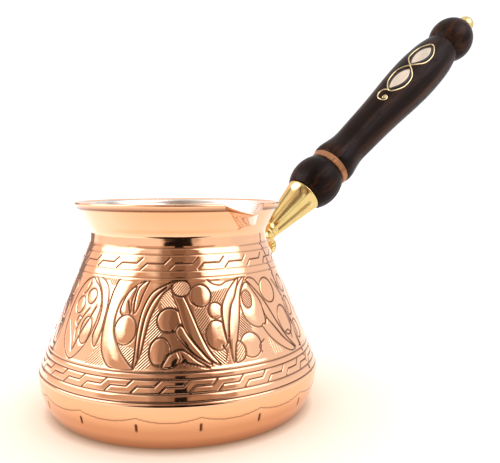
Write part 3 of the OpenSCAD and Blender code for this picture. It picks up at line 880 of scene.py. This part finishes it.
def build_bracket():
    """Cast plate shaped like a lobed shell, lying on the cone, with the arm for the handle."""
    a = np.radians(180 + 360 * np.arange(360) / 360)[None, :]
    rho = np.concatenate([np.linspace(0.06, 0.8, 20), 0.8 + 0.2 * np.sin(np.radians(np.arange(9, 91, 9)))])[:, None]
    lower = np.sin(a) < 0
    share = ((np.degrees(a) - 180 + 90 / (LOBES - 1)) % (180 / (LOBES - 1))) / (180 / (LOBES - 1)) - 0.5
    scallop = np.where(lower, LOBE_R * np.sqrt(1 - 0.85 * (2 * share) ** 2), LOBE_R)
    deep = np.where(lower, FAN_DEEP, FAN_TOP)
    y = rho * (FAN_WIDE + scallop) * np.cos(a)
    z = FAN_MIDDLE + rho * (deep + scallop * np.where(lower, 1, 0.2)) * np.sin(a)
    rim = np.sqrt(np.clip(1 - ((rho - 0.8) / 0.2).clip(0, 1) ** 2, 0, 1))
    ribs = np.where(lower, (2 * share) ** 2, 0) * smooth((rho - 0.3) / 0.4)
    thick = PLATE_T * (0.35 + 0.65 * rim) - 0.75 * ribs * PLATE_T * 0.6
    az = np.arcsin(np.clip(y / cone_radius(z), -1, 1))
    for spot_az, spot_z in RIVET_SPOTS:
        away = np.hypot((az - math.radians(spot_az)) * cone_radius(spot_z), (z - spot_z) * CONE_STRETCH)
        seat = 1 - smooth((away - RIVET_SEAT) / 0.8)
        thick = thick * (1 - seat) + PLATE_T * seat
    lean = math.atan(CONE_SLOPE)

    def lifted(height):
        r = cone_radius(z) + height * math.cos(lean)
        return np.stack([r * np.cos(az), r * np.sin(az), z + height * math.sin(lean)], -1)

    front = lifted(thick)
    back = lifted(PLATE_GAP + 0 * thick)[::-1]
    points = np.concatenate([front, back], 0)
    rows, cols = points.shape[:2]
    poles = np.array([front[0].mean(0), back[-1].mean(0)])
    tris = np.vstack([pole_tris(0, rows * cols, cols, False),
                      pole_tris((rows - 1) * cols, rows * cols + 1, cols, True)])
    plate = make_piece("bracket_plate", np.vstack([points.reshape(-1, 3), poles]),
                       grid_quads(rows, cols)[:, ::-1], tris)
    arm_line = rounded([(-5.2, BORE_R), (-6.6, 4.7), (-4.4, 4.0), (-2.6, 3.6), (-1.4, 3.6), (-0.9, 3.95),
                        (0, 3.95), (0, BORE_R)], [0.3, 0.9, 0.5, 0.2, 0.2, 0.25])
    arm = turned("bracket_arm", evenly(arm_line, 0.25), 96)
    arm.data.materials.append(brass_material("bracket_brass", False))
    plate_piece = finish_piece(plate, "pot", "brass", arm.data.materials[0], "handle_bracket")
    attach(arm, "pot")
    return plate_piece


# ---- Materials ----

DARK_WOOD = ((0.003, 0.0017, 0.0012, 1), (0.016, 0.006, 0.003, 1), (0.095, 0.033, 0.014, 1))
LIGHT_WOOD = ((0.25, 0.105, 0.044, 1), (0.46, 0.20, 0.092, 1), (0.62, 0.31, 0.16, 1))


def new_material(name):
    """A material with only a Principled shader, and that shader."""
    material = bpy.data.materials.new(name)
    material.use_nodes = True
    tree = material.node_tree
    return material, tree, tree.nodes["Principled BSDF"]


def add(tree, kind, inputs=None, **settings):
    """Adds a node; inputs holds values or other nodes' outputs by socket."""
    made = tree.nodes.new("ShaderNode" + kind)
    for key, value in settings.items():
        setattr(made, key, value)
    for key, value in (inputs or {}).items():
        if isinstance(value, bpy.types.NodeSocket):
            tree.links.new(value, made.inputs[key])
        else:
            made.inputs[key].default_value = value
    return made


def calc(tree, operation, a, b=0.0):
    return add(tree, "Math", {0: a, 1: b}, operation=operation).outputs[0]


def spread(tree, value, low, high, to_low=0.0, to_high=1.0):
    """Maps a value from one range to another, held at the ends."""
    return add(tree, "MapRange", {"Value": value, "From Min": low, "From Max": high,
                                  "To Min": to_low, "To Max": to_high}).outputs["Result"]


def mix(tree, share, a, b):
    made = add(tree, "Mix", {"Factor": share}, data_type="RGBA")
    for socket, value in ((made.inputs[6], a), (made.inputs[7], b)):
        if isinstance(value, bpy.types.NodeSocket):
            tree.links.new(value, socket)
        else:
            socket.default_value = value
    return made.outputs[2]


def stretched(tree, scale, turn_to_handle=False, seed=0.0):
    """Object coordinates stretched by scale, along the handle if asked."""
    place = add(tree, "TexCoord").outputs["Object"]
    if turn_to_handle:
        place = add(tree, "VectorRotate", {"Vector": place, "Angle": math.radians(HANDLE_TILT - 90)},
                    rotation_type="Y_AXIS").outputs["Vector"]
    return add(tree, "Mapping", {"Vector": place, "Location": (seed, seed * 0.7, seed * 1.3),
                                 "Scale": scale}).outputs["Vector"]


def noise(tree, vector, scale, detail=3.0, rough=0.5):
    return add(tree, "TexNoise", {"Vector": vector, "Scale": scale, "Detail": detail,
                                  "Roughness": rough}).outputs["Fac"]


def bump(tree, height, distance, strength=1.0, normal=None):
    inputs = {"Height": height, "Distance": distance, "Strength": strength}
    if normal is not None:
        inputs["Normal"] = normal
    return add(tree, "Bump", inputs).outputs["Normal"]


def copper_material():
    """Polished copper: darker patina in the cuts, hatched ground, fine lines from spinning; painted shade under the
    rim band, along the spout's foot and fold and low on the bowl, and a painted paler reflection over the spout.
    """
    material, tree, shader = new_material("polished_copper")
    patina_and_shade = add(tree, "Attribute", attribute_name="patina_and_shade").outputs["Fac"]
    hatch = add(tree, "Attribute", attribute_name="hatch").outputs["Fac"]
    xyz = add(tree, "SeparateXYZ", {0: add(tree, "TexCoord").outputs["Object"]})
    angle = calc(tree, "ARCTAN2", xyz.outputs["Y"], xyz.outputs["X"])
    around = calc(tree, "MULTIPLY", angle, 2 * math.pi * HATCH_R / HATCH_PITCH)
    up = calc(tree, "MULTIPLY", xyz.outputs["Z"], 2 * math.pi / (HATCH_PITCH * MM))
    rising = calc(tree, "SINE", calc(tree, "SUBTRACT", around, up))
    falling = calc(tree, "SINE", calc(tree, "ADD", around, up))
    right_way = calc(tree, "MAXIMUM", hatch, 0.0)
    other_way = calc(tree, "MAXIMUM", calc(tree, "MULTIPLY", hatch, -1.0), 0.0)
    cuts = calc(tree, "ADD", calc(tree, "MULTIPLY", rising, right_way),
                calc(tree, "MULTIPLY", falling, other_way))
    spun = noise(tree, stretched(tree, (8, 8, 1500)), 1.0, 2.0)
    cloud = noise(tree, stretched(tree, (1, 1, 1)), 42.0, 4.0)
    smear = noise(tree, stretched(tree, (60, 60, 220)), 1.0, 3.0)
    copper_tone_and_painted_light = mix(tree, cloud, (0.96, 0.50, 0.27, 1), (0.93, 0.56, 0.34, 1))
    # Painted reflection: paler copper over the spout.
    pale = add(tree, "Attribute", attribute_name="pale").outputs["Fac"]
    copper_tone_and_painted_light = mix(tree, calc(tree, "MULTIPLY", pale, 0.92), copper_tone_and_painted_light, (0.98, 0.84, 0.73, 1))
    # Painted shade: the copper darkens towards the bottom of the bowl.
    low = spread(tree, xyz.outputs["Z"], BOWL_SHADE_TOP * MM, (BOWL_SHADE_TOP + 5) * MM, 1.0, 0.0)
    copper_tone_and_painted_light = mix(tree, low, copper_tone_and_painted_light, (0.735, 0.37, 0.205, 1))
    hatched = calc(tree, "MULTIPLY", spread(tree, cuts, 0.05, 0.6), 0.85)
    # Dark patina in the cuts and hatching, together with the painted shade lines under the rim band and on the
    # spout.
    patina_and_painted_shade = calc(tree, "MAXIMUM", calc(tree, "MULTIPLY", patina_and_shade, 0.93), hatched)
    colour = mix(tree, patina_and_painted_shade, copper_tone_and_painted_light, (0.085, 0.020, 0.007, 1))
    tree.links.new(colour, shader.inputs["Base Color"])
    shader.inputs["Metallic"].default_value = 1.0
    gloss = calc(tree, "ADD", spread(tree, smear, 0.35, 0.7, 0.045, 0.09), calc(tree, "MULTIPLY", patina_and_painted_shade, 0.3))
    tree.links.new(gloss, shader.inputs["Roughness"])
    fine = bump(tree, spun, 0.006 * MM, 1.0)
    fine = bump(tree, cuts, -0.05 * MM, 1.0, fine)
    tree.links.new(bump(tree, cloud, 0.2 * MM, 1.0, fine), shader.inputs["Normal"])
    return material


def tin_material():
    """Wiped tin: bright and grey, with soft streaks round the pot."""
    material, tree, shader = new_material("wiped_tin")
    wipe = noise(tree, stretched(tree, (30, 30, 350)), 1.0, 4.0)
    cloud = noise(tree, stretched(tree, (1, 1, 1)), 90.0, 5.0)
    tree.links.new(mix(tree, cloud, (0.79, 0.74, 0.65, 1), (0.92, 0.87, 0.78, 1)), shader.inputs["Base Color"])
    shader.inputs["Metallic"].default_value = 1.0
    tree.links.new(spread(tree, wipe, 0.3, 0.7, 0.18, 0.34), shader.inputs["Roughness"])
    low = bump(tree, wipe, 0.03 * MM)
    tree.links.new(bump(tree, cloud, 0.1 * MM, 1.0, low), shader.inputs["Normal"])
    return material


def brass_material(name, lengthwise, pale=False):
    """Polished brass with fine file marks, along the handle or round it."""
    material, tree, shader = new_material(name)
    marks = (1200, 1200, 40) if lengthwise else (60, 60, 1400)
    lines = noise(tree, stretched(tree, marks, True), 1.0, 2.0)
    cloud = noise(tree, stretched(tree, (1, 1, 1)), 160.0, 4.0)
    low, high = ((0.66, 0.50, 0.24, 1), (0.78, 0.64, 0.38, 1)) if pale else \
        ((0.68, 0.49, 0.17, 1), (0.80, 0.63, 0.28, 1))
    tree.links.new(mix(tree, cloud, low, high), shader.inputs["Base Color"])
    shader.inputs["Metallic"].default_value = 1.0
    tree.links.new(spread(tree, lines, 0.3, 0.7, 0.13, 0.24), shader.inputs["Roughness"])
    rough = bump(tree, lines, 0.008 * MM)
    tree.links.new(bump(tree, cloud, 0.012 * MM, 1.0, rough), shader.inputs["Normal"])
    return material


def steel_material():
    """Brushed steel of the rod and the nut."""
    material, tree, shader = new_material("brushed_steel")
    lines = noise(tree, stretched(tree, (70, 70, 1500), True), 1.0, 3.0)
    tree.links.new(mix(tree, lines, (0.42, 0.42, 0.41, 1), (0.62, 0.61, 0.60, 1)), shader.inputs["Base Color"])
    shader.inputs["Metallic"].default_value = 1.0
    tree.links.new(spread(tree, lines, 0.3, 0.7, 0.28, 0.42), shader.inputs["Roughness"])
    tree.links.new(bump(tree, lines, 0.02 * MM), shader.inputs["Normal"])
    return material


def wood_material(name, tones, seed):
    """Oiled wood: streaks and pores run along the handle, under a thin polish."""
    material, tree, shader = new_material(name)
    dark, middle, light = tones
    streaks = noise(tree, stretched(tree, (220, 220, 14), True, seed), 1.0, 5.0, 0.6)
    bands = noise(tree, stretched(tree, (70, 70, 5), True, seed + 2), 1.0, 3.0)
    pores = noise(tree, stretched(tree, (1600, 1600, 90), True, seed + 4), 1.0, 2.0)
    patches = noise(tree, stretched(tree, (1, 1, 1), True, seed), 55.0, 3.0)
    body = mix(tree, spread(tree, bands, 0.38, 0.62), dark, middle)
    body = mix(tree, calc(tree, "MULTIPLY", spread(tree, streaks, 0.48, 0.72), 0.75), body, light)
    holes = spread(tree, pores, 0.30, 0.42, 1.0, 0.0)
    body = mix(tree, calc(tree, "MULTIPLY", holes, 0.6), body, tuple(0.35 * c for c in dark[:3]) + (1,))
    tree.links.new(mix(tree, calc(tree, "MULTIPLY", patches, 0.35), body, dark), shader.inputs["Base Color"])
    gloss = calc(tree, "ADD", spread(tree, patches, 0.3, 0.7, 0.26, 0.40), calc(tree, "MULTIPLY", holes, 0.2))
    tree.links.new(gloss, shader.inputs["Roughness"])
    shader.inputs["Specular IOR Level"].default_value = 0.08
    rough = bump(tree, holes, -0.03 * MM)
    tree.links.new(bump(tree, streaks, 0.05 * MM, 1.0, rough), shader.inputs["Normal"])
    return material


def pearl_material():
    """Mother-of-pearl: cream with faint bands of green and pink under a polish."""
    material, tree, shader = new_material("mother_of_pearl")
    layers = noise(tree, stretched(tree, (260, 260, 120), True), 1.0, 4.0)
    tint = add(tree, "ValToRGB", {"Fac": spread(tree, layers, 0.3, 0.7)})
    ramp = tint.color_ramp
    ramp.elements[0].color = (0.66, 0.50, 0.36, 1)
    ramp.elements[1].color = (0.78, 0.66, 0.50, 1)
    for place, shade in ((0.35, (0.62, 0.56, 0.42, 1)), (0.65, (0.78, 0.58, 0.44, 1))):
        ramp.elements.new(place).color = shade
    tree.links.new(tint.outputs["Color"], shader.inputs["Base Color"])
    tree.links.new(spread(tree, layers, 0.3, 0.7, 0.16, 0.30), shader.inputs["Roughness"])
    shader.inputs["Coat Weight"].default_value = 0.6
    shader.inputs["Coat Roughness"].default_value = 0.08
    tree.links.new(bump(tree, layers, 0.03 * MM), shader.inputs["Normal"])
    return material


def mastic_material():
    """Hard black mastic, rubbed flat."""
    material, tree, shader = new_material("black_mastic")
    grains = noise(tree, stretched(tree, (1, 1, 1)), 900.0, 4.0)
    tree.links.new(mix(tree, grains, (0.006, 0.005, 0.004, 1), (0.02, 0.016, 0.013, 1)), shader.inputs["Base Color"])
    tree.links.new(spread(tree, grains, 0.3, 0.7, 0.35, 0.55), shader.inputs["Roughness"])
    tree.links.new(bump(tree, grains, 0.02 * MM), shader.inputs["Normal"])
    return material


def dress_cad_nodes():
    """Materials of the CAD nodes that stay: rivets, washer, rod and nut."""
    brass = brass_material("fitting_brass", False)
    steel = steel_material()
    for node, material in (("bracket_rivets", brass), ("finial_washer", brass),
                           ("handle_rod", steel), ("ferrule_nut", steel)):
        mesh = frame["nodes"][node].data
        mesh.materials.clear()
        mesh.materials.append(material)


# ---- Studio ----

CAMERA_AZ = -115.4
CAMERA_REACH = 0.250
CAMERA_HEIGHT = 0.0891
CAMERA_LOOK = 58.1
CAMERA_PITCH = -4.7
LENS = 44.85
CARD_REACH = 0.8
WORLD_GLOW = 1.08
FLOOR_TONE = 0.95
# Near the pot the floor's tint and glow are painted bounce light from the copper.
FLOOR_BOUNCE_TINT = (0.98, 0.92, 0.83, 1)
FLOOR_GLOW_WARM = (0.205, 0.14, 0.085, 1)
FLOOR_GLOW = (0.25, 0.21, 0.19, 1)
# Painted pool of light: the floor's glow grows towards the left.
FLOOR_GLOW_LEFT = (0.70, 0.60, 0.72, 1)
FLOOR_NEAR = 0.058
# Painted contact shadow round the pot's foot.
FLOOR_CONTACT_SHADOW = (0.50, 0.38, 0.32, 1)
FLOOR_CONTACT_END = 0.054
FLOOR_FAR = 0.11


def direction(az, elevation):
    a, e = math.radians(az), math.radians(elevation)
    return Vector((math.cos(e) * math.cos(a), math.cos(e) * math.sin(a), math.sin(e)))


def place_camera():
    data = bpy.data.cameras.new("camera")
    data.sensor_width = 36
    data.lens = LENS
    data.clip_start = 0.01
    camera = bpy.data.objects.new("camera", data)
    spot = direction(CAMERA_AZ, 0) * CAMERA_REACH
    camera.location = (spot.x, spot.y, CAMERA_HEIGHT)
    camera.rotation_euler = direction(CAMERA_LOOK, CAMERA_PITCH).to_track_quat("-Z", "Y").to_euler()
    bpy.context.scene.collection.objects.link(camera)
    bpy.context.scene.camera = camera


def card(name, az, elevation, wide, tall, glow, roll=0.0, taper=1.0, reach=CARD_REACH, soft=0.3):
    """A lit panel seen in reflections only; wide and tall are angles seen from the pot."""
    half_x = reach * math.tan(math.radians(wide / 2))
    half_y = reach * math.tan(math.radians(tall / 2))
    mesh = bpy.data.meshes.new(name)
    corners = [(-half_x, -half_y, 0), (half_x, -half_y, 0),
               (half_x * taper, half_y, 0), (-half_x * taper, half_y, 0)]
    mesh.from_pydata(corners, [], [(0, 1, 2, 3)])
    made = bpy.data.objects.new(name, mesh)
    material = bpy.data.materials.new(name)
    material.use_nodes = True
    tree = material.node_tree
    shine = add(tree, "Emission", {"Color": glow + (1,), "Strength": 1.0})
    xyz = add(tree, "SeparateXYZ", {0: add(tree, "TexCoord").outputs["Object"]})
    y_share = calc(tree, "DIVIDE", xyz.outputs["Y"], half_y)
    width = calc(tree, "MULTIPLY", spread(tree, y_share, -1.0, 1.0, 1.0, taper), half_x)
    x_share = calc(tree, "DIVIDE", xyz.outputs["X"], width)
    shares = [spread(tree, calc(tree, "ABSOLUTE", share), 1 - soft, 1.0, 1.0, 0.0)
              for share in (x_share, y_share)]
    edge = add(tree, "MixShader", {0: calc(tree, "MULTIPLY", shares[0], shares[1]),
                                   1: add(tree, "BsdfTransparent").outputs[0], 2: shine.outputs[0]})
    tree.links.new(edge.outputs[0], tree.nodes["Material Output"].inputs["Surface"])
    mesh.materials.append(material)
    towards = direction(CAMERA_AZ + az, elevation)
    made.location = towards * reach
    face = towards.to_track_quat("Z", "Y") @ Quaternion((0, 0, 1), math.radians(roll))
    made.rotation_euler = face.to_euler()
    bpy.context.scene.collection.objects.link(made)
    for kind in ("camera", "diffuse", "transmission", "volume_scatter", "shadow"):
        setattr(made, "visible_" + kind, False)


def build_floor():
    mesh = bpy.data.meshes.new("floor")
    side = 6.0
    mesh.from_pydata([(-side, -side, 0), (side, -side, 0), (side, side, 0), (-side, side, 0)], [], [(0, 1, 2, 3)])
    floor = bpy.data.objects.new("floor", mesh)
    material, tree, shader = new_material("pale_floor")
    place = add(tree, "TexCoord").outputs["Object"]
    reach = add(tree, "VectorMath", {0: place}, operation="LENGTH").outputs["Value"]
    far = spread(tree, reach, FLOOR_NEAR, FLOOR_FAR)
    left = direction(CAMERA_AZ - 125, 0)
    side = add(tree, "VectorMath", {0: place, 1: left}, operation="DOT_PRODUCT").outputs["Value"]
    # Painted pool of light: the floor glows more towards the left.
    bright = mix(tree, spread(tree, side, 0.0, 0.25), FLOOR_GLOW, FLOOR_GLOW_LEFT)
    # Painted bounce light: the floor is tinted warm near the pot.
    tone = mix(tree, far, FLOOR_BOUNCE_TINT, (FLOOR_TONE, FLOOR_TONE, FLOOR_TONE, 1))
    # Painted contact shadow: darker floor round the pot's foot.
    tone = mix(tree, spread(tree, reach, BASE_R * MM, FLOOR_CONTACT_END), FLOOR_CONTACT_SHADOW, tone)
    tree.links.new(tone, shader.inputs["Base Color"])
    # Painted light: the floor glows, warm near the pot.
    tree.links.new(mix(tree, far, FLOOR_GLOW_WARM, bright), shader.inputs["Emission Color"])
    shader.inputs["Emission Strength"].default_value = 1.0
    shader.inputs["Roughness"].default_value = 0.9
    shader.inputs["Specular IOR Level"].default_value = 0.0
    mesh.materials.append(material)
    floor.location.z = -0.05 * MM
    bpy.context.scene.collection.objects.link(floor)


def build_world():
    world = bpy.data.worlds.new("studio")
    world.use_nodes = True
    background = world.node_tree.nodes["Background"]
    background.inputs["Color"].default_value = (1, 1, 1, 1)
    background.inputs["Strength"].default_value = WORLD_GLOW
    bpy.context.scene.world = world


def build_studio():
    """White surroundings, two softboxes and the dark shape of the camera, all in reflections."""
    bpy.context.scene.view_settings.view_transform = "Standard"
    build_world()
    build_floor()
    card("softbox_left", -86, 39, 56, 42, (4.2, 4.2, 4.7), roll=14, reach=0.7, soft=0.35)
    card("softbox_right", 58, 45, 50, 40, (3.8, 3.6, 3.9), roll=-12, reach=0.7, soft=0.35)
    card("wall_left", -140, 33, 70, 70, (1.22, 0.92, 0.84))
    card("wall_right", 106, 30, 90, 64, (1.0, 1.0, 1.08))
    card("room_left", -42, 24, 52, 28, (0.72, 0.54, 0.46))
    card("room_low", 3, 18, 52, 18, (0.46, 0.32, 0.24), reach=0.72)
    card("column", -1, 37, 17, 26, (0.25, 0.17, 0.13), reach=0.68)
    card("room_middle", 3, 36, 52, 30, (0.36, 0.26, 0.22), reach=0.75)
    card("room_right", 33, 24, 24, 28, (0.56, 0.42, 0.36))
    card("gap", -6, 58, 34, 28, (0.50, 0.40, 0.37))
    card("dark_left", -141, 9, 20, 32, (0.33, 0.30, 0.30), reach=0.65)
    card("dark_right", 127, 28, 3, 74, (0.10, 0.03, 0.015), reach=0.65)
    card("camera_body", -2, 10.5, 92, 21, (0.014, 0.011, 0.011), taper=0.22, reach=0.27, soft=0.14)
    card("camera_man", 0, 19, 9.5, 20, (0.014, 0.011, 0.011), reach=0.65, soft=0.15)


place_camera()
build_studio()
build_pot()
build_tin()
build_bracket()
build_ferrule()
build_beads()
build_spacer()
build_grip()
build_inlay()
build_finial()
dress_cad_nodes()
